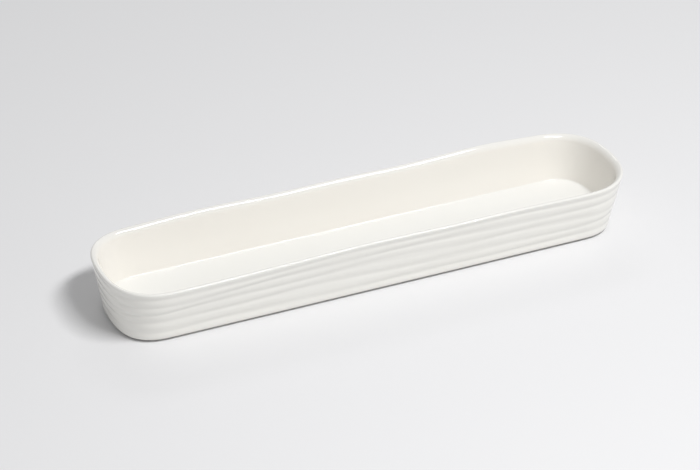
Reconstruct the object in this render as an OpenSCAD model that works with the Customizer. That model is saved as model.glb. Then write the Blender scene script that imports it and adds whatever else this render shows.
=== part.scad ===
// Long, narrow serving tray for a row of crackers: a glazed wall that leans outwards,
// soft finger grooves round its outside, an uneven hand-made rim, and a bare foot ring.

/* [Tray] */
// Length over the rim
tray_l = 305; // [240:1:400]
// Width over the rim
tray_w = 70; // [64:0.5:110]
// Mean height of the rim above the table
rim_h = 34.4; // [29:0.2:48]
// How far each rounded end reaches past the straight sides
end_l = 32; // [27:0.5:44]
// Squareness of the rounded ends, 2 for an ellipse
end_power = 2.5; // [2:0.1:3]

/* [Wall] */
// Thickness of the wall
wall_t = 3.5; // [2.6:0.1:4.5]
// Lean of the wall outwards from upright, in degrees
lean = 10; // [2:0.5:13]
// Lean of the wall at the tips of the rounded ends, in degrees
end_lean = 12; // [2:0.5:14]
// Rounding of the outer bottom edge
edge_r = 2.4; // [1:0.1:3.5]
// Rounding of the corner between the wall and the floor
corner_r = 2; // [1:0.1:6]

/* [Lip] */
// Rounding of the lip's outer edge
lip_edge_r = 1; // [0.5:0.1:1.3]
// How far the surface has turned inwards where the wide inner rounding takes over, in degrees
lip_tilt = 25; // [0:1:35]
// Height of the lip above the top groove
lip_h = 4.3; // [3.4:0.1:7]

/* [Grooves and rim] */
// Number of finger grooves round the outside
groove_count = 5; // [3:1:7]
// Depth of a groove
groove_d = 0.3; // [0.1:0.05:0.8]
// Height of the plain band under the lowest groove
low_band = 5; // [4:0.1:8]
// How far the grooves drift up and down on their way round
groove_drift = 1.25; // [0:0.05:2]
// How far each groove's drift lags behind the one above it, in degrees round the tray
groove_lag = 20; // [0:1:30]
// Height of the largest swell along the uneven rim
rim_swell = 0.45; // [0:0.05:1]

/* [Floor and foot] */
// Thickness of the floor
floor_t = 5.6; // [2.5:0.1:8]
// Flat land between the rounded corner and the floor's edge
floor_land = 1; // [0.5:0.1:3]
// Height of the foot ring under the floor
foot_h = 0.9; // [0.6:0.1:4]
// Width of the foot ring
foot_w = 3; // [2:0.1:8]
// How far the foot ring is set in from the rounded bottom edge
foot_set = 1; // [0:0.1:6]

/* [Hidden] */

glaze_white = "#F3F0E8";
bare_clay = "#E2D8C6";

// Steps along each straight side, round each end and on the parts of the wall's section
side_steps = 20;
end_steps = 24;
groove_steps = 6;
round_steps = 4;
lip_edge_steps = 6;
lip_inner_steps = 4;
// Above 1, a groove is narrower than the rib beside it
groove_power = 1.5;

// Swells of the rim: how many go round, share of rim_swell, place of a crest in degrees from the +X end
swells = [
    [1, 0.6, 213], [2, 1, 211], [3, 0.6, 146], [4, 0.35, 265],
    [5, 1, 239], [6, 0.35, 352], [7, 0.55, 274], [8, 0.7, 347]
];
// Drift of the grooves, in the same form, as shares of groove_drift
drifts = [[2, 1, 133], [7, 0.3, 60]];

side_l = tray_l / 2 - end_l;
half_w = tray_w / 2;
floor_z = foot_h + floor_t;

// The lip's outer edge runs from the wall's outside to lip_tilt, and the inner rounding on to the inside
lip_edge_z = rim_h - lip_edge_r;
lip_low_z = lip_edge_z - lip_edge_r * sin(lean);
lip_turn = 90 + lean + lip_tilt;
lip_inner_r = (wall_t - lip_edge_r * (1 - cos(lip_turn))) / (1 + cos(lip_turn));

// Inset from the rim's outline, at height z, of a plane in the wall at a depth below its outside
function face_inset(z, depth) = lip_edge_r + (depth - lip_edge_r) / cos(lean) + (lip_edge_z - z) * tan(lean);

// Further inset at the tip of an end, at height z, where the wall's lean is end_lean
function tip_inset(z) = (lip_edge_z - z) * (tan(end_lean) - tan(lean));

// Height where a rounding of radius r above level z meets the wall, and the inset of its centre
function round_z(z, r) = z + r * (1 - sin(lean));
function round_inset(z, r, depth) = face_inset(round_z(z, r), depth) + r * cos(lean);

// Rounding of radius r between a level at z and one face of the wall, from the level up
function rounding(z, r, depth) = [
    for (k = [0 : round_steps])
        let (a = 270 - (90 - lean) * k / round_steps)
            [round_inset(z, r, depth) + r * cos(a), z + r + r * sin(a)]
];

// Arc of the lip after its start, between two tilts of the surface, inwards from upwards
function bend(start, r, from, to, steps) = [
    for (k = [1 : steps])
        let (a = from + (to - from) * k / steps)
            start + r * [sin(a) - sin(from), cos(a) - cos(from)]
];

edge_in = round_inset(foot_h, edge_r, 0);
seam_in = round_inset(floor_z, corner_r, wall_t) + floor_land;
foot_in = edge_in + foot_set;

// Heights of the lowest and the top groove, and of the phase p, which is a whole number in each groove
low_groove_z = foot_h + low_band;
top_groove_z = rim_h - lip_h;
low_phase = 0.5;
top_phase = groove_count + 0.5;
mid_phase = (groove_count + 1) / 2;
function groove_z(p) = lookup(p, [
    [low_phase, round_z(foot_h, edge_r)],
    [1, low_groove_z],
    [groove_count, top_groove_z],
    [top_phase, lip_low_z]
]);
function groove_shape(p) = pow((1 + cos(360 * p)) / 2, groove_power);

// The wall's section, as insets, heights and phases up the outside, then insets and heights down the inside
bottom_edge = [for (q = rounding(foot_h, edge_r, 0)) concat(q, low_phase)];
ribbed_side = [
    for (k = [1 : groove_steps * groove_count - 1])
        let (p = low_phase + k / groove_steps, z = groove_z(p))
            [face_inset(z, groove_d * groove_shape(p)), z, p]
];
lip_start = [face_inset(lip_low_z, 0), lip_low_z];
lip_edge = concat([lip_start], bend(lip_start, lip_edge_r, -90 - lean, lip_tilt, lip_edge_steps));
lip_inner = bend(lip_edge[lip_edge_steps], lip_inner_r, lip_tilt, 90 - lean, lip_inner_steps);
corner_up = rounding(floor_z, corner_r, wall_t);
corner_down = [for (k = [round_steps : -1 : 0]) corner_up[k]];
outside = concat(bottom_edge, ribbed_side, [for (q = lip_edge) concat(q, top_phase)]);
inside = concat(lip_inner, corner_down, [[seam_in, floor_z]]);

// Each point also has its share of the rim's swell, of the grooves' drift, its phase and its tip inset
function rise(z, from) = (z - from) / (rim_h - from);
section = concat(
    [for (q = outside) let (s = rise(q[1], foot_h)) [q[0], q[1], s, sin(180 * s), q[2], tip_inset(q[1])]],
    [for (q = inside) [q[0], q[1], rise(q[1], floor_z), 0, top_phase, tip_inset(q[1])]],
    [[seam_in, foot_h, 0, 0, low_phase, tip_inset(floor_z)]]
);

// Stations round the rim's outline, each a place and its outward direction
function signed_pow(v, e) = sign(v) * pow(abs(v), e);
function end_place(a) = [
    side_l + end_l * signed_pow(cos(a), 2 / end_power),
    half_w * signed_pow(sin(a), 2 / end_power)
];
function end_outward(a) =
    let (v = [
        signed_pow(cos(a), 2 - 2 / end_power) / end_l,
        signed_pow(sin(a), 2 - 2 / end_power) / half_w
    ]) v / norm(v);
half_outline = concat(
    [for (k = [0 : end_steps - 1]) let (a = 180 * k / end_steps - 90) [end_place(a), end_outward(a)]],
    [for (k = [0 : side_steps - 1]) [[side_l - 2 * side_l * k / side_steps, half_w], [0, 1]]]
);
stations = concat(half_outline, [for (s = half_outline) -s]);
station_count = len(stations);
function place(i) = stations[i % station_count][0];

// Length run along the outline to each station, and the same in degrees from the +X end
runs = [for (i = 0, run = 0; i <= station_count; run = run + norm(place(i + 1) - place(i)), i = i + 1) run];
end_tip = end_steps / 2;
function turn(i) = 360 * (runs[i] - runs[end_tip]) / runs[station_count];

function total(v) = v * [for (x = v) 1];
function waves(rows, a) = total([for (r = rows) r[1] * cos(r[0] * a - r[2])]);
function drift(i, p) = groove_drift * (1 + waves(drifts, turn(i) - groove_lag * (p - mid_phase)));
swell_lifts = [for (i = [0 : station_count - 1]) rim_swell * waves(swells, turn(i))];

// Outline at an inset from the rim's, with a further inset that grows towards the tips of the ends
function inward(s, inset, at_tip) = s[0] - (inset + at_tip * pow(s[1][0], 2)) * s[1];
function ring(inset, at_tip) = [for (s = stations) inward(s, inset, at_tip)];

function wall_point(i, q) =
    concat(inward(stations[i], q[0], q[5]), q[1] + swell_lifts[i] * q[2] + drift(i, q[4]) * q[3]);

module tray_wall() {
    rows = len(section);
    points = [for (i = [0 : station_count - 1], q = section) wall_point(i, q)];
    faces = [
        for (i = [0 : station_count - 1], j = [0 : rows - 1])
            let (
                here = i * rows,
                next = (i + 1) % station_count * rows,
                above = (j + 1) % rows
            ) each [
                [here + j, here + above, next + above],
                [here + j, next + above, next + j]
            ]
    ];
    color(glaze_white) polyhedron(points, faces);
}

module floor_slab() {
    color(glaze_white) translate([0, 0, foot_h]) linear_extrude(floor_t)
        polygon(ring(seam_in, tip_inset(floor_z)));
}

module foot_ring() {
    color(bare_clay) linear_extrude(foot_h) difference() {
        polygon(ring(foot_in, tip_inset(foot_h)));
        polygon(ring(foot_in + foot_w, tip_inset(foot_h)));
    }
}

tray_wall();
floor_slab();
foot_ring();
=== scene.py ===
"""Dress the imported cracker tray: a glazed wall and floor on a bare foot ring, on a pale studio stage."""

import logging
import math
from dataclasses import dataclass
from enum import Enum
from typing import ClassVar, Union

import bpy
from mathutils import Matrix, Vector


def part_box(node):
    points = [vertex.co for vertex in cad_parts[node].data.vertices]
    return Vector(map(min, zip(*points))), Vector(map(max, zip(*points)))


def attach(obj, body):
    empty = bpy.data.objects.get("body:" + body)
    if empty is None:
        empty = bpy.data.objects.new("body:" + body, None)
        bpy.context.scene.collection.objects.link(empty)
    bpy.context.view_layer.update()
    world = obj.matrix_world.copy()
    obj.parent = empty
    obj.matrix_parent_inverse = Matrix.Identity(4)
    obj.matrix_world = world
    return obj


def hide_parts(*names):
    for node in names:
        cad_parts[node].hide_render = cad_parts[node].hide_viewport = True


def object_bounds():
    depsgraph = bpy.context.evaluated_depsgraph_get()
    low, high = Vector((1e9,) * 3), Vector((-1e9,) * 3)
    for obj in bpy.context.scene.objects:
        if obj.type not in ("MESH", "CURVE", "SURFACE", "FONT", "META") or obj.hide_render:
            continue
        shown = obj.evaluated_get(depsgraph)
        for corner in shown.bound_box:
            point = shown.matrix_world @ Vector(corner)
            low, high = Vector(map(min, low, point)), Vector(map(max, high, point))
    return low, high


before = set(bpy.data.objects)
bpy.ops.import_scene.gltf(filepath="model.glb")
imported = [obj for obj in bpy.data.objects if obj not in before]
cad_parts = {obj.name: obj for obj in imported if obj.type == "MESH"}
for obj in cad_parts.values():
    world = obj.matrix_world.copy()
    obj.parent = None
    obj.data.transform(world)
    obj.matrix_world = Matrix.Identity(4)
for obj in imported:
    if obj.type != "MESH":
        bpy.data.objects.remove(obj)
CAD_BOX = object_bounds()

LOG = logging.getLogger("cracker_tray")
MM = 0.001
IMAGE_WIDTH_PX = 700
BODY = "root"
QUARTER = math.pi / 2
HALF_LANE = 0.5

# Attribute that the glaze's tint follows, from 0 on the outside of the tray to 1 on its floor. The tint
# paints shade on the lip and the floor, which face up, and warm bounce light on the inside of the wall
DEPTH = "depth"
LIP_DEPTH = 0.25
WALL_DEPTH = 0.5
FLOOR_DEPTH = 1.0

Number = Union[float, "Field"]
Pair = tuple[float, float]
Colour = tuple[float, float, float]


class Face(Enum):
    """The face of the wall that a point of its section lies on."""

    OUTSIDE = "outside"
    INSIDE = "inside"


class Slot(Enum):
    """The record's material slots."""

    GLAZE = "white_glaze"
    CLAY = "bare_clay"


@dataclass(frozen=True)
class Wave:
    """One of the slow waves that run round the hand-made rim.

    Args:
        count: how many crests go round.
        share: its height, as a share of the largest wave's.
        crest: place of a crest, in degrees of the wave, from the +X end.
    """

    count: int
    share: float
    crest: float


@dataclass(frozen=True)
class SectionPoint:
    """A point of a ring's section.

    Args:
        inset: distance in from the rim's outline, in metres.
        height: height above the table, in metres.
        swell: share of the rim's swell that lifts it.
        drift: share of the grooves' drift that lifts it.
        groove: how far it lies in a groove, from 0 to 1.
        lane: where it lies among the grooves, a whole number at the bottom of each.
        plus_tip: further inset at the tip of the +X end, in metres.
        minus_tip: further inset at the tip of the -X end, in metres.
        depth: how deep inside the tray it lies, from 0 on the outside, over the lip and the inside of the
            wall, to FLOOR_DEPTH on the floor. The glaze's painted shade and painted bounce light follow
            it.
    """

    inset: float
    height: float
    swell: float = 0.0
    drift: float = 0.0
    groove: float = 0.0
    lane: float = 0.0
    plus_tip: float = 0.0
    minus_tip: float = 0.0
    depth: float = 0.0


class Field:
    """A number that varies over a node tree's points, with ordinary arithmetic."""

    def __init__(self, graph: "NodeGraph", socket: bpy.types.NodeSocket) -> None:
        """Wrap a socket.

        Args:
            graph: the tree that the socket is in.
            socket: the socket that gives the number.
        """
        self.graph = graph
        self.socket = socket

    def __add__(self, other: Number) -> "Field":
        """Sum."""
        return self.graph.math("ADD", self, other)

    def __sub__(self, other: Number) -> "Field":
        """Difference."""
        return self.graph.math("SUBTRACT", self, other)

    def __mul__(self, other: Number) -> "Field":
        """Product."""
        return self.graph.math("MULTIPLY", self, other)

    def __pow__(self, other: Number) -> "Field":
        """Power."""
        return self.graph.math("POWER", self, other)

    def __abs__(self) -> "Field":
        """Size without sign."""
        return self.graph.math("ABSOLUTE", self)

    def sign(self) -> "Field":
        """Return -1, 0 or 1."""
        return self.graph.math("SIGN", self)

    def cos(self) -> "Field":
        """Cosine of an angle in radians."""
        return self.graph.math("COSINE", self)

    def sin(self) -> "Field":
        """Sine of an angle in radians."""
        return self.graph.math("SINE", self)


class NodeGraph:
    """A Geometry Nodes tree under construction, with short calls for the nodes that it needs."""

    def __init__(self, name: str) -> None:
        """Start a tree that takes and gives one geometry.

        Args:
            name: name of the tree.
        """
        self.tree = bpy.data.node_groups.new(name, "GeometryNodeTree")
        self.tree.interface.new_socket("Geometry", in_out="OUTPUT", socket_type="NodeSocketGeometry")
        self.group_in = self.tree.nodes.new("NodeGroupInput")
        self.group_out = self.tree.nodes.new("NodeGroupOutput")
        self.identifiers: dict[str, str] = {}

    def add_input(self, name: str, kind: str = "NodeSocketFloat") -> bpy.types.NodeSocket:
        """Add a named input to the tree.

        Args:
            name: name of the input.
            kind: type of its socket.

        Returns:
            The socket that gives the input's value inside the tree.
        """
        item = self.tree.interface.new_socket(name, in_out="INPUT", socket_type=kind)
        self.identifiers[name] = item.identifier
        return self.group_in.outputs[name]

    def size(self, name: str) -> Field:
        """Add a named size to the tree's inputs and return it as a field."""
        return Field(self, self.add_input(name))

    def node(self, kind: str, **settings: object) -> bpy.types.Node:
        """Add a node.

        Args:
            kind: Blender's name for the node's type.
            settings: properties to set on it.

        Returns:
            The node.
        """
        node = self.tree.nodes.new(kind)
        for name, value in settings.items():
            setattr(node, name, value)
        return node

    def feed(self, socket: bpy.types.NodeSocket, value: object) -> None:
        """Link a field or a socket to an input, or set the input to a plain value.

        Args:
            socket: the input.
            value: what it takes.
        """
        if isinstance(value, Field):
            value = value.socket
        if isinstance(value, bpy.types.NodeSocket):
            self.tree.links.new(value, socket)
        else:
            socket.default_value = value

    def math(self, operation: str, *values: Number) -> Field:
        """Add a Math node.

        Args:
            operation: what the node works out.
            values: the numbers that it takes.

        Returns:
            Its result.
        """
        node = self.node("ShaderNodeMath", operation=operation)
        for socket, value in zip(node.inputs, values):
            self.feed(socket, value)
        return Field(self, node.outputs[0])

    def vector(self, x: Number, y: Number, z: Number) -> bpy.types.NodeSocket:
        """Join three numbers to a vector.

        Args:
            x: the first number.
            y: the second number.
            z: the third number.

        Returns:
            The socket that gives the vector.
        """
        node = self.node("ShaderNodeCombineXYZ")
        for socket, value in zip(node.inputs, (x, y, z)):
            self.feed(socket, value)
        return node.outputs[0]

    def parts(self, socket: bpy.types.NodeSocket) -> tuple[Field, Field, Field]:
        """Split a vector into three numbers.

        Args:
            socket: the socket that gives the vector.

        Returns:
            The numbers.
        """
        node = self.node("ShaderNodeSeparateXYZ")
        self.feed(node.inputs[0], socket)
        return Field(self, node.outputs[0]), Field(self, node.outputs[1]), Field(self, node.outputs[2])

    def index(self) -> Field:
        """Number of each point."""
        return Field(self, self.node("GeometryNodeInputIndex").outputs[0])

    def noise(self, place: bpy.types.NodeSocket, scale: float, detail: float) -> Field:
        """Smooth noise from 0 to 1.

        Args:
            place: vector at which the noise is read.
            scale: how many waves go to one unit of the vector.
            detail: how many finer layers are added.

        Returns:
            The noise as a field.
        """
        node = self.node("ShaderNodeTexNoise")
        self.feed(node.inputs["Vector"], place)
        self.feed(node.inputs["Scale"], scale)
        self.feed(node.inputs["Detail"], detail)
        return Field(self, node.outputs[0])

    def store(self, geometry: bpy.types.NodeSocket, name: str, value: Number) -> bpy.types.NodeSocket:
        """Store a number on each point under a name.

        Args:
            geometry: the geometry.
            name: name of the attribute.
            value: what is stored.

        Returns:
            The geometry with the attribute.
        """
        node = self.node("GeometryNodeStoreNamedAttribute", data_type="FLOAT", domain="POINT")
        self.feed(node.inputs["Geometry"], geometry)
        self.feed(node.inputs["Name"], name)
        self.feed(node.inputs["Value"], value)
        return node.outputs["Geometry"]

    def recall(self, name: str) -> Field:
        """Read a number that was stored on each point.

        Args:
            name: name of the attribute.

        Returns:
            The number as a field.
        """
        node = self.node("GeometryNodeInputNamedAttribute", data_type="FLOAT")
        self.feed(node.inputs["Name"], name)
        return Field(self, node.outputs["Attribute"])

    def move(self, geometry: bpy.types.NodeSocket, place: bpy.types.NodeSocket) -> bpy.types.NodeSocket:
        """Put each point at a place.

        Args:
            geometry: the geometry.
            place: vector of the place.

        Returns:
            The moved geometry.
        """
        node = self.node("GeometryNodeSetPosition")
        self.feed(node.inputs["Geometry"], geometry)
        self.feed(node.inputs["Position"], place)
        return node.outputs["Geometry"]

    def chain(
        self, geometry: bpy.types.NodeSocket, kind: str, **settings: object
    ) -> bpy.types.NodeSocket:
        """Pass the geometry through a node whose first input and output are geometry.

        Args:
            geometry: the geometry.
            kind: Blender's name for the node's type.
            settings: properties to set on it.

        Returns:
            What comes out.
        """
        node = self.node(kind, **settings)
        self.feed(node.inputs[0], geometry)
        return node.outputs[0]

    def finish(self, geometry: bpy.types.NodeSocket, finish: bpy.types.NodeSocket) -> None:
        """Smooth the shading, realize the instances, set the material and connect the output.

        Args:
            geometry: the built geometry.
            finish: socket that gives the material.
        """
        smooth = self.chain(geometry, "GeometryNodeSetShadeSmooth")
        real = self.chain(smooth, "GeometryNodeRealizeInstances")
        dressed = self.node("GeometryNodeSetMaterial")
        self.feed(dressed.inputs["Geometry"], real)
        self.feed(dressed.inputs["Material"], finish)
        self.tree.links.new(dressed.outputs["Geometry"], self.group_out.inputs[0])

    def make(self, name: str, values: dict[str, object]) -> bpy.types.Object:
        """Run the tree once and keep its result as a plain mesh.

        Args:
            name: name of the piece.
            values: the tree's inputs, by name.

        Returns:
            An object with the finished mesh and no modifier.
        """
        piece = bpy.data.objects.new(name, bpy.data.meshes.new(name + "_seed"))
        bpy.context.scene.collection.objects.link(piece)
        modifier = piece.modifiers.new(self.tree.name, "NODES")
        modifier.node_group = self.tree
        for label, value in values.items():
            modifier[self.identifiers[label]] = value
        bpy.context.view_layer.update()
        made = bpy.data.meshes.new_from_object(piece.evaluated_get(bpy.context.evaluated_depsgraph_get()))
        piece.modifiers.clear()
        piece.data = made
        made.name = name
        return piece


@dataclass(frozen=True)
class Outline:
    """The rim's outline from above: straight sides and rounded, slightly square ends.

    Args:
        length: length over the rim, in metres.
        width: width over the rim, in metres.
        end_reach: how far an end reaches past the straight sides, in metres.
        end_power: squareness of the ends, 2 for an ellipse.
        stations: points round the finished outline.
        fine_points: points of the outline before it is spaced evenly.
    """

    STORED: ClassVar[tuple[str, ...]] = ("turn", "rail_x", "rail_y", "out_x", "out_y")

    length: float
    width: float
    end_reach: float = 32 * MM
    end_power: float = 2.5
    stations: int = 480
    fine_points: int = 2880

    def inputs(self) -> dict[str, object]:
        """List the sizes for the node tree.

        Returns:
            The sizes, by the names of the tree's inputs.
        """
        return {
            "Length": self.length,
            "Width": self.width,
            "End Reach": self.end_reach,
            "End Power": self.end_power,
        }

    def rail(self, graph: NodeGraph) -> bpy.types.NodeSocket:
        """Add the nodes of the outline as a curve that starts at the +X end and runs anticlockwise.

        Args:
            graph: the tree that they go into.

        Returns:
            The curve, with each point's turn, place and outward direction stored on it.
        """
        length, width = graph.size("Length"), graph.size("Width")
        reach, power = graph.size("End Reach"), graph.size("End Power")
        circle = graph.node("GeometryNodeCurvePrimitiveCircle")
        graph.feed(circle.inputs["Resolution"], self.fine_points)
        angle = graph.index() * (math.tau / self.fine_points)
        along, across = angle.cos(), angle.sin()
        bend = graph.math("DIVIDE", 2.0, power)
        side = length * 0.5 - reach
        x = along.sign() * (side + reach * abs(along) ** bend)
        y = across.sign() * (width * 0.5) * abs(across) ** bend
        curve = graph.move(circle.outputs["Curve"], graph.vector(x, y, 0.0))
        spaced = graph.node("GeometryNodeResampleCurve")
        graph.feed(spaced.inputs["Curve"], curve)
        graph.feed(spaced.inputs["Count"], self.stations)
        curve = spaced.outputs["Curve"]
        curve = graph.store(curve, "turn", graph.index() * (math.tau / self.stations))
        rail_x, rail_y, _ = graph.parts(graph.node("GeometryNodeInputPosition").outputs[0])
        curve = graph.store(curve, "rail_x", rail_x)
        curve = graph.store(curve, "rail_y", rail_y)
        tangent_x, tangent_y, _ = graph.parts(graph.node("GeometryNodeInputTangent").outputs[0])
        curve = graph.store(curve, "out_x", tangent_y)
        return graph.store(curve, "out_y", tangent_x * -1.0)

    @staticmethod
    def ends(graph: NodeGraph) -> tuple[Field, Field]:
        """Measure how near each point is to the tips of the ends.

        Args:
            graph: the tree.

        Returns:
            How near it is to the tip of the +X end and of the -X end, from 0 on the sides to 1.
        """
        out_x = graph.recall("out_x")
        plus, minus = (abs(out_x) + out_x) * 0.5, (abs(out_x) - out_x) * 0.5
        return plus * plus, minus * minus

    @classmethod
    def inward(
        cls, graph: NodeGraph, inset: Number, tips: tuple[Field, Field], height: Number
    ) -> bpy.types.NodeSocket:
        """Return the place of a point at an inset from the rim's outline.

        Args:
            graph: the tree.
            inset: distance in from the outline.
            tips: further distances at the tip of the +X end and of the -X end.
            height: height above the table.

        Returns:
            The place as a vector socket.
        """
        plus, minus = cls.ends(graph)
        reach = plus * tips[0] + minus * tips[1] + inset
        x = graph.recall("rail_x") - graph.recall("out_x") * reach
        y = graph.recall("rail_y") - graph.recall("out_y") * reach
        return graph.vector(x, y, height)


@dataclass(frozen=True)
class GlazeFinish:
    """Glossy warm white glaze, with painted shade on the lip and the floor and painted warm bounce light
    inside.

    Args:
        name: name of the material.
        outside: colour on the outside of the wall.
        lip: colour on the lip, darker than the outside: painted shade on the lip's top, which faces up.
        inside: colour on the inside of the wall, warmer than the outside: painted bounce light.
        floor: colour on the floor, darker than the inside: painted shade on the floor, which faces up.
        cloud: what the faint clouds multiply the colour by.
        roughness: roughness of the surface.
        ior: index of refraction.
        cloud_scale: scale of the clouds, to a metre.
        cloud_detail: finer layers in the clouds.
        ripple_scale: scale of the ripples, to a metre.
        ripple_detail: finer layers in the ripples.
        ripple_depth: depth of the ripples, in metres.
    """

    name: str = "white_glaze"
    outside: Colour = (0.890, 0.882, 0.843)
    # The lip's and the floor's darker colours are painted shade, the inside's warmer colour is painted
    # bounce light
    lip: Colour = (0.802, 0.795, 0.767)
    inside: Colour = (0.898, 0.875, 0.828)
    floor: Colour = (0.819, 0.819, 0.797)
    cloud: Colour = (0.985, 0.979, 0.970)
    roughness: float = 0.08
    ior: float = 1.45
    cloud_scale: float = 28.0
    cloud_detail: float = 2.0
    ripple_scale: float = 42.0
    ripple_detail: float = 1.0
    ripple_depth: float = 0.10 * MM

    def material(self) -> bpy.types.Material:
        """Build the glaze as a node material on Object coordinates.

        Returns:
            The material.
        """
        material = bpy.data.materials.new(self.name)
        material.use_nodes = True
        nodes, links = material.node_tree.nodes, material.node_tree.links
        shader = nodes["Principled BSDF"]
        shader.inputs["Roughness"].default_value = self.roughness
        shader.inputs["IOR"].default_value = self.ior
        place = nodes.new("ShaderNodeTexCoord").outputs["Object"]
        clouds = nodes.new("ShaderNodeTexNoise")
        clouds.inputs["Scale"].default_value = self.cloud_scale
        clouds.inputs["Detail"].default_value = self.cloud_detail
        links.new(place, clouds.inputs["Vector"])
        depth = nodes.new("ShaderNodeAttribute")
        depth.attribute_name = DEPTH
        # Ramp by depth: the outside colour, the lip's painted shade, the inside's painted bounce light,
        # the floor's painted shade
        tint = nodes.new("ShaderNodeValToRGB")
        stops = tint.color_ramp.elements
        for depth_mark in (LIP_DEPTH, WALL_DEPTH):
            stops.new(depth_mark)
        for stop, colour in zip(stops, (self.outside, self.lip, self.inside, self.floor)):
            stop.color = (*colour, 1.0)
        links.new(depth.outputs["Fac"], tint.inputs["Fac"])
        clouded = nodes.new("ShaderNodeMix")
        clouded.data_type = "RGBA"
        clouded.blend_type = "MULTIPLY"
        clouded.inputs["B"].default_value = (*self.cloud, 1.0)
        links.new(clouds.outputs[0], clouded.inputs["Factor"])
        links.new(tint.outputs["Color"], clouded.inputs["A"])
        links.new(clouded.outputs["Result"], shader.inputs["Base Color"])
        ripple = nodes.new("ShaderNodeTexNoise")
        ripple.inputs["Scale"].default_value = self.ripple_scale
        ripple.inputs["Detail"].default_value = self.ripple_detail
        links.new(place, ripple.inputs["Vector"])
        bump = nodes.new("ShaderNodeBump")
        bump.inputs["Distance"].default_value = self.ripple_depth
        links.new(ripple.outputs[0], bump.inputs["Height"])
        links.new(bump.outputs["Normal"], shader.inputs["Normal"])
        return material


@dataclass(frozen=True)
class ClayFinish:
    """Bare fired clay, matt and finely grained.

    Args:
        name: name of the material.
        light: colour of the light grains.
        dark: colour of the dark grains.
        roughness: roughness of the surface.
        grain_scale: scale of the grains, to a metre.
        grain_detail: finer layers in the grain.
        grain_depth: depth of the grain, in metres.
    """

    name: str = "bare_clay"
    light: Colour = (0.74, 0.69, 0.60)
    dark: Colour = (0.66, 0.60, 0.50)
    roughness: float = 0.75
    grain_scale: float = 900.0
    grain_detail: float = 4.0
    grain_depth: float = 0.06 * MM

    def material(self) -> bpy.types.Material:
        """Build the clay as a node material on Object coordinates.

        Returns:
            The material.
        """
        material = bpy.data.materials.new(self.name)
        material.use_nodes = True
        nodes, links = material.node_tree.nodes, material.node_tree.links
        shader = nodes["Principled BSDF"]
        shader.inputs["Roughness"].default_value = self.roughness
        place = nodes.new("ShaderNodeTexCoord").outputs["Object"]
        grain = nodes.new("ShaderNodeTexNoise")
        grain.inputs["Scale"].default_value = self.grain_scale
        grain.inputs["Detail"].default_value = self.grain_detail
        links.new(place, grain.inputs["Vector"])
        tint = nodes.new("ShaderNodeMix")
        tint.data_type = "RGBA"
        tint.inputs["A"].default_value = (*self.light, 1.0)
        tint.inputs["B"].default_value = (*self.dark, 1.0)
        links.new(grain.outputs[0], tint.inputs["Factor"])
        links.new(tint.outputs["Result"], shader.inputs["Base Color"])
        bump = nodes.new("ShaderNodeBump")
        bump.inputs["Distance"].default_value = self.grain_depth
        links.new(grain.outputs[0], bump.inputs["Height"])
        links.new(bump.outputs["Normal"], shader.inputs["Normal"])
        return material


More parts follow.
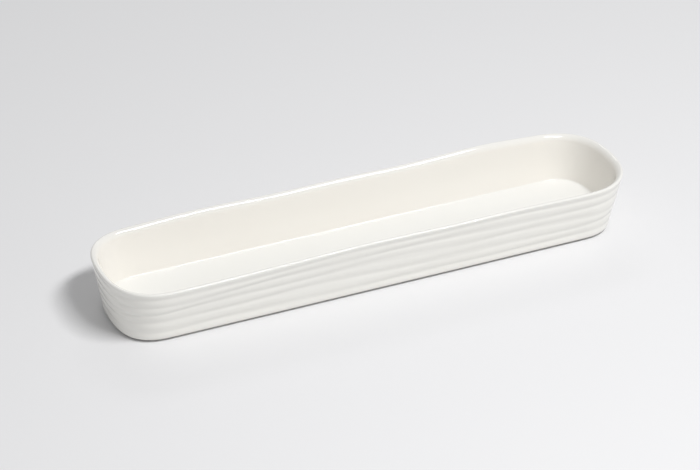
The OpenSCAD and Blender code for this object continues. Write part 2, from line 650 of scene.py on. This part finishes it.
@dataclass(frozen=True)
class WallSection:
    """The wall cut across: a leaning wall with finger grooves, a rounded lip and a rounded corner.

    Args:
        under_z: height of the tray's underside, in metres.
        floor_z: height of the floor's top, in metres.
        seam_inset: inset of the seam where the wall's foot ends and the flat floor begins, in metres.
        rim_z: mean height of the rim, in metres.
        thickness: thickness of the wall, in metres.
        lean: lean of the wall outwards along the sides, in radians.
        tip_lean: lean of its inside at the tips of the ends.
        plus_lean: lean of its outside at the tip of the +X end.
        minus_lean: lean of its outside at the tip of the -X end.
        lip_edge_r: rounding of the lip's outer edge, in metres.
        lip_tilt: how far the surface has turned inwards where the lip's inner rounding takes over.
        edge_r: rounding of the outer bottom edge, in metres.
        corner_r: rounding of the corner between the wall and the floor, in metres.
        groove_count: number of grooves.
        groove_power: above 1, a groove is narrower than the rib beside it.
        lip_height: height of the rim above the top groove, in metres.
        low_band: height of the lowest groove above the underside, in metres.
        lip_fade: share of the inside's height over which the lip's painted shade fades out.
        floor_fade: share of the inside's height over which the floor's painted shade fades in.
        groove_steps: steps across a groove.
        round_steps: steps in a rounding.
        wall_steps: steps down the inside of the wall.
    """

    under_z: float
    floor_z: float
    seam_inset: float
    rim_z: float = 34.38 * MM
    thickness: float = 3.5 * MM
    lean: float = math.radians(10)
    tip_lean: float = math.radians(12)
    plus_lean: float = math.radians(13.2)
    minus_lean: float = math.radians(9.8)
    lip_edge_r: float = 1 * MM
    lip_tilt: float = math.radians(25)
    edge_r: float = 2.4 * MM
    corner_r: float = 1.2 * MM
    groove_count: int = 5
    groove_power: float = 1.5
    lip_height: float = 4.3 * MM
    low_band: float = 5 * MM
    lip_fade: float = 0.12
    floor_fade: float = 0.03
    groove_steps: int = 16
    round_steps: int = 12
    wall_steps: int = 14

    @property
    def lip_inner_r(self) -> float:
        """Radius of the lip's wide inner rounding, which takes up the rest of the wall's thickness."""
        turned = math.cos(QUARTER + self.lean + self.lip_tilt)
        return (self.thickness - self.lip_edge_r * (1 - turned)) / (1 + turned)

    def face_inset(self, z: float, face: Face) -> float:
        """Inset of one face of the wall at a height.

        Args:
            z: the height.
            face: the outside or the inside.

        Returns:
            The inset from the rim's outline.
        """
        edge_z = self.rim_z - self.lip_edge_r
        across = self.thickness if face is Face.INSIDE else 0.0
        slope = (across - self.lip_edge_r) / math.cos(self.lean)
        return self.lip_edge_r + slope + (edge_z - z) * math.tan(self.lean)

    def tip_inset(self, z: float, lean: float) -> float:
        """Further inset at the tip of an end, at a height, where the wall has its own lean."""
        return (self.rim_z - self.lip_edge_r - z) * (math.tan(lean) - math.tan(self.lean))

    def tips(self, z: float, face: Face) -> Pair:
        """Further insets of one face at the tips of the +X and the -X end, at a height.

        Args:
            z: the height.
            face: the outside, which leans differently at the two tips, or the inside.

        Returns:
            The two insets.
        """
        plus_lean, minus_lean = self.plus_lean, self.minus_lean
        if face is Face.INSIDE:
            plus_lean = minus_lean = self.tip_lean
        return self.tip_inset(z, plus_lean), self.tip_inset(z, minus_lean)

    def rounding(self, z: float, radius: float, face: Face) -> list[Pair]:
        """Points of a rounding between a level and a face of the wall, from the level up.

        Args:
            z: height of the level.
            radius: radius of the rounding.
            face: the face that it runs into.

        Returns:
            Insets and heights.
        """
        meet_z = z + radius * (1 - math.sin(self.lean))
        centre = self.face_inset(meet_z, face) + radius * math.cos(self.lean)
        sweep = QUARTER - self.lean
        angles = [-QUARTER - sweep * k / self.round_steps for k in range(self.round_steps + 1)]
        return [(centre + radius * math.cos(a), z + radius + radius * math.sin(a)) for a in angles]

    def groove_height(self, phase: float) -> float:
        """Height of a phase of the grooves.

        Args:
            phase: place among the grooves, a whole number at the bottom of each.

        Returns:
            The height.
        """
        low = self.under_z + self.low_band
        top = self.rim_z - self.lip_height
        first = self.under_z + self.edge_r * (1 - math.sin(self.lean))
        last = self.rim_z - self.lip_edge_r * (1 + math.sin(self.lean))
        marks = [
            (HALF_LANE, first),
            (1.0, low),
            (float(self.groove_count), top),
            (self.groove_count + HALF_LANE, last),
        ]
        for (p0, z0), (p1, z1) in zip(marks, marks[1:]):
            if phase <= p1:
                return z0 + (z1 - z0) * (phase - p0) / (p1 - p0)
        return last

    def bend(self, start: Pair, radius: float, tilts: Pair) -> list[Pair]:
        """Points of an arc of the lip, without its first.

        Args:
            start: inset and height of its first point.
            radius: its radius.
            tilts: how far the surface faces inwards from upwards at its start and its end.

        Returns:
            Insets and heights.
        """
        first, last = tilts
        found = []
        for k in range(1, self.round_steps + 1):
            tilt = first + (last - first) * k / self.round_steps
            inset = start[0] + radius * (math.sin(tilt) - math.sin(first))
            found.append((inset, start[1] + radius * (math.cos(tilt) - math.cos(first))))
        return found

    def lip(self) -> tuple[list[Pair], list[Pair]]:
        """Draw the lip.

        Returns:
            Insets and heights up and over its tight outer edge, and then down its wide inner rounding.
        """
        low_z = self.rim_z - self.lip_edge_r * (1 + math.sin(self.lean))
        start = (self.face_inset(low_z, Face.OUTSIDE), low_z)
        edge = [start] + self.bend(start, self.lip_edge_r, (-QUARTER - self.lean, self.lip_tilt))
        return edge, self.bend(edge[-1], self.lip_inner_r, (self.lip_tilt, QUARTER - self.lean))

    def points(self) -> list[SectionPoint]:
        """Walk round the section: up the outside, over the lip, down the inside and under the seam.

        Returns:
            The points in that order.
        """
        rise = self.rim_z - self.under_z
        rows = [(i, z, 0.0, HALF_LANE) for i, z in self.rounding(self.under_z, self.edge_r, Face.OUTSIDE)]
        for k in range(1, self.groove_steps * self.groove_count):
            phase = HALF_LANE + k / self.groove_steps
            z = self.groove_height(phase)
            groove = (0.5 + 0.5 * math.cos(math.tau * phase)) ** self.groove_power
            rows.append((self.face_inset(z, Face.OUTSIDE), z, groove, phase))
        edge, inner = self.lip()
        rows += [(i, z, 0.0, self.groove_count + HALF_LANE) for i, z in edge]
        found = []
        for inset, z, groove, lane in rows:
            share = (z - self.under_z) / rise
            drift = math.sin(math.pi * share)
            # Over the lip's outer edge the glaze turns to the lip's painted shade
            over_edge = max(0.0, 1.0 - (self.rim_z - z) / (self.rim_z - edge[0][1]))
            tips = self.tips(z, Face.OUTSIDE)
            found.append(SectionPoint(inset, z, share, drift, groove, lane, *tips, LIP_DEPTH * over_edge))
        corner = self.rounding(self.floor_z, self.corner_r, Face.INSIDE)[::-1]
        (top_inset, top_z), (low_inset, low_z) = inner[-1], corner[0]
        for k in range(1, self.wall_steps):
            t = k / self.wall_steps
            inner.append((top_inset + (low_inset - top_inset) * t, top_z + (low_z - top_z) * t))
        for inset, z in inner + corner:
            share = (z - self.floor_z) / (self.rim_z - self.floor_z)
            # Down the inside the lip's painted shade gives way to the inside's painted bounce light, and
            # at the corner to the floor's painted shade
            below_lip = min(1.0, (1.0 - share) / self.lip_fade)
            above_floor = min(1.0, share / self.floor_fade)
            depth = LIP_DEPTH + (WALL_DEPTH - LIP_DEPTH) * below_lip
            depth += (FLOOR_DEPTH - WALL_DEPTH) * (1.0 - above_floor)
            plus, minus = self.tips(z, Face.INSIDE)
            found.append(SectionPoint(inset, z, share, plus_tip=plus, minus_tip=minus, depth=depth))
        plus, minus = self.tips(self.floor_z, Face.INSIDE)
        for z in (self.floor_z, self.under_z):
            seam = SectionPoint(self.seam_inset, z, plus_tip=plus, minus_tip=minus, depth=FLOOR_DEPTH)
            found.append(seam)
        return found


@dataclass(frozen=True)
class FootSection:
    """The foot ring cut across: a low bar with rounded lower edges, flush with the underside.

    Args:
        inset: distance in from the rim's outline, in metres.
        tip: further distance at the tips of the ends, in metres.
        height: height of the ring, in metres.
        width: width of the ring, in metres.
        edge_r: rounding of its lower edges, in metres.
        round_steps: steps in a rounding.
    """

    inset: float
    tip: float
    height: float
    width: float = 3 * MM
    edge_r: float = 0.4 * MM
    round_steps: int = 5

    def points(self) -> list[SectionPoint]:
        """Walk round the section: down from the inner upper corner, along the bottom and up outside.

        Returns:
            The points in that order.
        """
        rows = [(self.inset + self.width, self.height)]
        inner_edge = (self.inset + self.width - self.edge_r, 0.0)
        outer_edge = (self.inset + self.edge_r, -QUARTER)
        for centre, start in (inner_edge, outer_edge):
            for k in range(self.round_steps + 1):
                a = start - QUARTER * k / self.round_steps
                rows.append((centre + self.edge_r * math.cos(a), self.edge_r * (1 + math.sin(a))))
        rows.append((self.inset, self.height))
        return [SectionPoint(inset, z, plus_tip=self.tip, minus_tip=self.tip) for inset, z in rows]


@dataclass(frozen=True)
class HandMarks:
    """How unevenly the tray was made by hand.

    Args:
        rim_swell: height of the largest swell along the rim, in metres.
        groove_drift: how far the grooves drift up and down, in metres.
        groove_depth: depth of a groove, in metres.
        wobble: how far the wall strays inwards, in metres.
        tip_fade: share of the grooves' depth that is lost at the tip of the +X end.
        swells: waves of the rim.
        drifts: waves of the grooves' drift.
        drift_lag: how far each groove's drift lags behind the one above it, in radians round the tray.
        middle_lane: the groove whose drift doesn't lag.
        fade_spread: how far apart the noises are read round the tray.
        fade_scale: scale of the noise that varies the grooves' depth.
        fade_gain: what that noise is multiplied by, so that its mean is near 1.
        lane_step: how far apart that noise is read from groove to groove.
        stray_rise: how far apart the wall's noise is read up the wall, to a metre.
        stray_scale: scale of the noise that the wall strays by.
        noise_detail: finer layers in both noises.
    """

    rim_swell: float = 0.45 * MM
    groove_drift: float = 1.25 * MM
    groove_depth: float = 0.3 * MM
    wobble: float = 0.25 * MM
    tip_fade: float = 0.6
    swells: tuple[Wave, ...] = (
        Wave(1, 0.6, 213),
        Wave(2, 1.0, 211),
        Wave(3, 0.6, 146),
        Wave(4, 0.35, 265),
        Wave(5, 1.0, 239),
        Wave(6, 0.35, 352),
        Wave(7, 0.55, 274),
        Wave(8, 0.7, 347),
    )
    drifts: tuple[Wave, ...] = (Wave(2, 1.0, 133), Wave(7, 0.3, 60))
    drift_lag: float = math.radians(20)
    middle_lane: float = 3.0
    fade_spread: float = 2.4
    fade_scale: float = 1.0
    fade_gain: float = 2.0
    lane_step: float = 1.7
    stray_rise: float = 20.0
    stray_scale: float = 1.6
    noise_detail: float = 1.0

    def inputs(self) -> dict[str, object]:
        """List the sizes for the node tree.

        Returns:
            The sizes, by the names of the tree's inputs.
        """
        return {
            "Rim Swell": self.rim_swell,
            "Groove Drift": self.groove_drift,
            "Groove Depth": self.groove_depth,
            "Wobble": self.wobble,
        }

    @staticmethod
    def run(turn: Field, waves: tuple[Wave, ...]) -> Field:
        """Add up waves along the outline.

        Args:
            turn: how far round the outline a point is, in radians.
            waves: the waves.

        Returns:
            Their sum.
        """
        terms = [(turn * float(w.count) - math.radians(w.crest)).cos() * w.share for w in waves]
        total = terms[0]
        for term in terms[1:]:
            total = total + term
        return total


class RingSweep:
    """A section carried round the rim's outline, with the hand-made unevenness added."""

    PLACING = ("inset", "height", "swell", "drift", "groove", "lane", "plus_tip", "minus_tip")
    SHARES = PLACING + (DEPTH,)

    def __init__(self, outline: Outline, marks: HandMarks) -> None:
        """Build the node tree.

        Args:
            outline: the rim's outline.
            marks: the hand-made unevenness.
        """
        self.outline = outline
        self.marks = marks
        self.graph = graph = NodeGraph("ring_sweep")
        rail = outline.rail(graph)
        section = graph.node("GeometryNodeObjectInfo")
        graph.feed(section.inputs["Object"], graph.add_input("Section", "NodeSocketObject"))
        profile = graph.chain(section.outputs["Geometry"], "GeometryNodeMeshToCurve")
        sweep = graph.node("GeometryNodeCurveToMesh")
        graph.feed(sweep.inputs["Curve"], rail)
        graph.feed(sweep.inputs["Profile Curve"], profile)
        outward = graph.chain(sweep.outputs["Mesh"], "GeometryNodeFlipFaces")
        placed = graph.move(outward, self.place())
        graph.finish(placed, graph.add_input("Finish", "NodeSocketMaterial"))

    def place(self) -> bpy.types.NodeSocket:
        """Work out where each point of the ring goes, from its section and its turn round the outline.

        Returns:
            The place as a vector socket.
        """
        graph, marks = self.graph, self.marks
        swell, drift = graph.size("Rim Swell"), graph.size("Groove Drift")
        depth, wobble = graph.size("Groove Depth"), graph.size("Wobble")
        turn = graph.recall("turn")
        shares = [graph.recall(name) for name in self.PLACING]
        inset, height, swell_share, drift_share, groove, lane, plus_tip, minus_tip = shares
        lift = swell * marks.run(turn, marks.swells) * swell_share
        lagged = turn - (lane - marks.middle_lane) * marks.drift_lag
        slide = drift * (marks.run(lagged, marks.drifts) + 1.0) * drift_share
        round_x = turn.cos() * marks.fade_spread
        round_y = turn.sin() * marks.fade_spread
        groove_spot = graph.vector(round_x, round_y, lane * marks.lane_step)
        strength = graph.noise(groove_spot, marks.fade_scale, marks.noise_detail) * marks.fade_gain
        wall_spot = graph.vector(round_x, round_y, height * marks.stray_rise)
        stray = graph.noise(wall_spot, marks.stray_scale, marks.noise_detail) * wobble * swell_share
        plus_end, _ = Outline.ends(graph)
        kept = plus_end * -marks.tip_fade + 1.0
        across = inset + depth * groove * strength * kept + stray
        return Outline.inward(graph, across, (plus_tip, minus_tip), height + lift + slide)

    def make(self, name: str, points: list[SectionPoint], finish: bpy.types.Material) -> bpy.types.Object:
        """Sweep a section round the outline.

        Args:
            name: name of the piece.
            points: the section.
            finish: material of the piece.

        Returns:
            The piece, as a closed ring of plain mesh.
        """
        template = bpy.data.objects.new(name + "_section", self.template(name, points))
        bpy.context.scene.collection.objects.link(template)
        values = {**self.outline.inputs(), **self.marks.inputs(), "Section": template, "Finish": finish}
        piece = self.graph.make(name, values)
        bpy.data.objects.remove(template)
        for attribute in [a.name for a in piece.data.attributes if a.name in self.spare_names()]:
            piece.data.attributes.remove(piece.data.attributes[attribute])
        return piece

    def spare_names(self) -> set[str]:
        """Names of the attributes that the finished mesh doesn't need."""
        return {*Outline.STORED, *self.PLACING}

    def template(self, name: str, points: list[SectionPoint]) -> bpy.types.Mesh:
        """Draw a section as a closed loop of edges that carries its points' shares.

        Args:
            name: name of the piece.
            points: the section.

        Returns:
            The loop as a mesh.
        """
        count = len(points)
        mesh = bpy.data.meshes.new(name + "_section")
        corners = [(p.inset, p.height, 0.0) for p in points]
        mesh.from_pydata(corners, [(k, (k + 1) % count) for k in range(count)], [])
        for share in self.SHARES:
            layer = mesh.attributes.new(share, "FLOAT", "POINT")
            layer.data.foreach_set("value", [getattr(p, share) for p in points])
        return mesh


class FloorFill:
    """The flat floor: the outline at the seam, filled and given its thickness."""

    MERGE = 0.01 * MM

    def __init__(self, outline: Outline) -> None:
        """Build the node tree.

        Args:
            outline: the rim's outline.
        """
        self.outline = outline
        self.graph = graph = NodeGraph("floor_fill")
        inset, tip = graph.size("Seam Inset"), graph.size("Seam Tip")
        top, thickness = graph.size("Top"), graph.size("Thickness")
        rim = outline.rail(graph)
        edge = graph.move(rim, Outline.inward(graph, inset, (tip, tip), 0.0))
        fill = graph.node("GeometryNodeFillCurve")
        graph.feed(fill.inputs["Curve"], edge)
        level = graph.node("GeometryNodeTransform")
        graph.feed(level.inputs["Geometry"], fill.outputs["Mesh"])
        graph.feed(level.inputs["Translation"], graph.vector(0.0, 0.0, top - thickness))
        sheet = level.outputs["Geometry"]
        raised = graph.node("GeometryNodeExtrudeMesh", mode="FACES")
        graph.feed(raised.inputs["Mesh"], sheet)
        graph.feed(raised.inputs["Offset"], graph.vector(0.0, 0.0, 1.0))
        graph.feed(raised.inputs["Offset Scale"], thickness)
        graph.feed(raised.inputs["Individual"], False)
        joined = graph.node("GeometryNodeJoinGeometry")
        for part in (raised.outputs["Mesh"], graph.chain(sheet, "GeometryNodeFlipFaces")):
            graph.tree.links.new(part, joined.inputs[0])
        closed = graph.node("GeometryNodeMergeByDistance")
        graph.feed(closed.inputs["Geometry"], joined.outputs[0])
        graph.feed(closed.inputs["Distance"], self.MERGE)
        # The floor slab takes the glaze's floor colour: painted shade on the floor
        deep = graph.store(closed.outputs[0], DEPTH, FLOOR_DEPTH)
        graph.finish(deep, graph.add_input("Finish", "NodeSocketMaterial"))

    def make(self, name: str, wall: WallSection, finish: bpy.types.Material) -> bpy.types.Object:
        """Fill the floor.

        Args:
            name: name of the piece.
            wall: section of the wall that the floor meets at the seam.
            finish: material of the piece.

        Returns:
            The floor as a closed slab of plain mesh.
        """
        values = {
            "Seam Inset": wall.seam_inset,
            "Seam Tip": wall.tip_inset(wall.floor_z, wall.tip_lean),
            "Top": wall.floor_z,
            "Thickness": wall.floor_z - wall.under_z,
            "Finish": finish,
        }
        return self.graph.make(name, {**self.outline.inputs(), **values})


@dataclass
class Tray:
    """The whole tray: wall, floor and foot ring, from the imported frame's sizes.

    Args:
        outline: the rim's outline.
        wall: the wall's section.
        foot: the foot ring's section.
        marks: the hand-made unevenness.
        sharp_angle: edges that turn by more than this are shaded sharp, in radians.
    """

    outline: Outline
    wall: WallSection
    foot: FootSection
    marks: HandMarks
    sharp_angle: float = math.radians(50)

    @classmethod
    def from_frame(cls) -> "Tray":
        """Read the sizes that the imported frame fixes.

        Returns:
            The tray.
        """
        low, high = CAD_BOX
        slab_low, slab_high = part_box("floor_slab")
        ring_low, ring_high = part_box("foot_ring")
        outline = Outline(length=high.x - low.x, width=high.y - low.y)
        wall = WallSection(slab_low.z, slab_high.z, seam_inset=high.y - slab_high.y)
        tip = wall.tip_inset(wall.under_z, wall.tip_lean)
        foot = FootSection(inset=high.y - ring_high.y, tip=tip, height=ring_high.z - ring_low.z)
        return cls(outline, wall, foot, HandMarks())

    def build(self) -> list[bpy.types.Object]:
        """Build and dress the three pieces.

        Returns:
            The pieces.
        """
        glaze, clay = GlazeFinish().material(), ClayFinish().material()
        sweep = RingSweep(self.outline, self.marks)
        wall = sweep.make("glazed_wall", self.wall.points(), glaze)
        floor = FloorFill(self.outline).make("glazed_floor", self.wall, glaze)
        foot = sweep.make("bare_foot", self.foot.points(), clay)
        for piece, node, slot in (
            (wall, "tray_wall", Slot.GLAZE),
            (floor, "floor_slab", Slot.GLAZE),
            (foot, "foot_ring", Slot.CLAY),
        ):
            piece.data.set_sharp_from_angle(angle=self.sharp_angle)
            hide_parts(node)
            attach(piece, BODY)
            LOG.info("%s: %d faces, stands for %s", piece.name, len(piece.data.polygons), node)
        return [wall, floor, foot]


@dataclass(frozen=True)
class Softbox:
    """A soft rectangular studio light aimed at the tray.

    Args:
        name: name of the lamp.
        place: where it hangs, in metres.
        size: width and height of its face, in metres.
        power: power in watts.
        colour: colour of its light.
    """

    name: str
    place: tuple[float, float, float]
    size: Pair
    power: float
    colour: Colour = (1.0, 1.0, 1.0)

    def hang(self) -> bpy.types.Object:
        """Hang the lamp and aim it at the tray's middle.

        Returns:
            The lamp.
        """
        lamp = bpy.data.lights.new(self.name, "AREA")
        lamp.shape = "RECTANGLE"
        lamp.size, lamp.size_y = self.size
        lamp.energy = self.power
        lamp.color = self.colour
        holder = bpy.data.objects.new(self.name, lamp)
        holder.location = self.place
        holder.visible_camera = False
        holder.rotation_euler = (-Vector(self.place)).to_track_quat("-Z", "Y").to_euler()
        bpy.context.scene.collection.objects.link(holder)
        return holder


@dataclass(frozen=True)
class PhotoCamera:
    """The camera at the photograph's viewing angle.

    Args:
        focal_px: focal length, in pixels of the image.
        elevation: how far it looks down, in degrees.
        turn: how far it is turned round the tray from the long side, in degrees.
        distance: distance to the tray's origin along the line of sight, in metres.
        slide: how far the tray's origin lies right of and above the line of sight, in metres.
        sensor_mm: width of the sensor, in millimetres.
    """

    focal_px: float = 3303.0
    elevation: float = 32.99
    turn: float = 23.18
    distance: float = 1.814
    slide: Pair = (6.39 * MM, -14.90 * MM)
    sensor_mm: float = 36.0

    def place(self) -> bpy.types.Object:
        """Add the camera and make it the scene's.

        Returns:
            The camera.
        """
        e, t = math.radians(self.elevation), math.radians(self.turn)
        right = Vector((math.cos(t), -math.sin(t), 0.0))
        ahead = Vector((math.sin(t) * math.cos(e), math.cos(t) * math.cos(e), -math.sin(e)))
        up = right.cross(ahead)
        lens = bpy.data.cameras.new("photo_camera")
        lens.sensor_width = self.sensor_mm
        lens.lens = self.focal_px / IMAGE_WIDTH_PX * self.sensor_mm
        camera = bpy.data.objects.new("photo_camera", lens)
        spot = -right * self.slide[0] - up * self.slide[1] - ahead * self.distance
        camera.matrix_world = Matrix.Translation(spot) @ Matrix((right, up, -ahead)).transposed().to_4x4()
        bpy.context.scene.collection.objects.link(camera)
        bpy.context.scene.camera = camera
        return camera


@dataclass
class Studio:
    """The pale stage, its soft light and the camera.

    Args:
        floor_size: length of the floor's sides, in metres.
        floor_colour: colour of the floor.
        floor_roughness: roughness of the floor.
        floor_specular: strength of the floor's shine.
        sky_colour: colour of the even light.
        sky_strength: strength of the even light.
        lamps: the softboxes.
    """

    floor_size: float = 6.0
    floor_colour: Colour = (0.77, 0.77, 0.78)
    floor_roughness: float = 0.9
    floor_specular: float = 0.1
    sky_colour: Colour = (1.0, 1.0, 1.0)
    sky_strength: float = 0.39
    lamps: tuple[Softbox, ...] = (
        Softbox("key_softbox", (0.30, -0.63, 1.21), (0.6, 0.2), 14.2),
        Softbox("back_strip", (0.32, 1.18, 1.03), (0.9, 0.3), 2.0),
    )

    def lay_floor(self) -> bpy.types.Object:
        """Lay the pale floor, which is no part of the object.

        Returns:
            The floor.
        """
        half = self.floor_size / 2
        mesh = bpy.data.meshes.new("stage_floor")
        corners = [(-half, -half, 0.0), (half, -half, 0.0), (half, half, 0.0), (-half, half, 0.0)]
        mesh.from_pydata(corners, [], [(0, 1, 2, 3)])
        floor = bpy.data.objects.new("stage_floor", mesh)
        bpy.context.scene.collection.objects.link(floor)
        material = bpy.data.materials.new("stage_floor")
        material.use_nodes = True
        shader = material.node_tree.nodes["Principled BSDF"]
        shader.inputs["Base Color"].default_value = (*self.floor_colour, 1.0)
        shader.inputs["Roughness"].default_value = self.floor_roughness
        shader.inputs["Specular IOR Level"].default_value = self.floor_specular
        mesh.materials.append(material)
        return floor

    def light_sky(self) -> None:
        """Give the room a soft even light."""
        world = bpy.data.worlds.new("studio_room")
        world.use_nodes = True
        sky = world.node_tree.nodes["Background"]
        sky.inputs["Color"].default_value = (*self.sky_colour, 1.0)
        sky.inputs["Strength"].default_value = self.sky_strength
        bpy.context.scene.world = world

    def build(self) -> None:
        """Lay the floor, hang the lamps and place the camera."""
        self.lay_floor()
        self.light_sky()
        for lamp in self.lamps:
            lamp.hang()
        PhotoCamera().place()
        bpy.context.scene.view_settings.view_transform = "Standard"


def main() -> None:
    """Build the tray, then the studio round it."""
    logging.basicConfig(level=logging.INFO, format="%(name)s: %(message)s")
    Tray.from_frame().build()
    Studio().build()


if __name__ == "__main__":
    main()
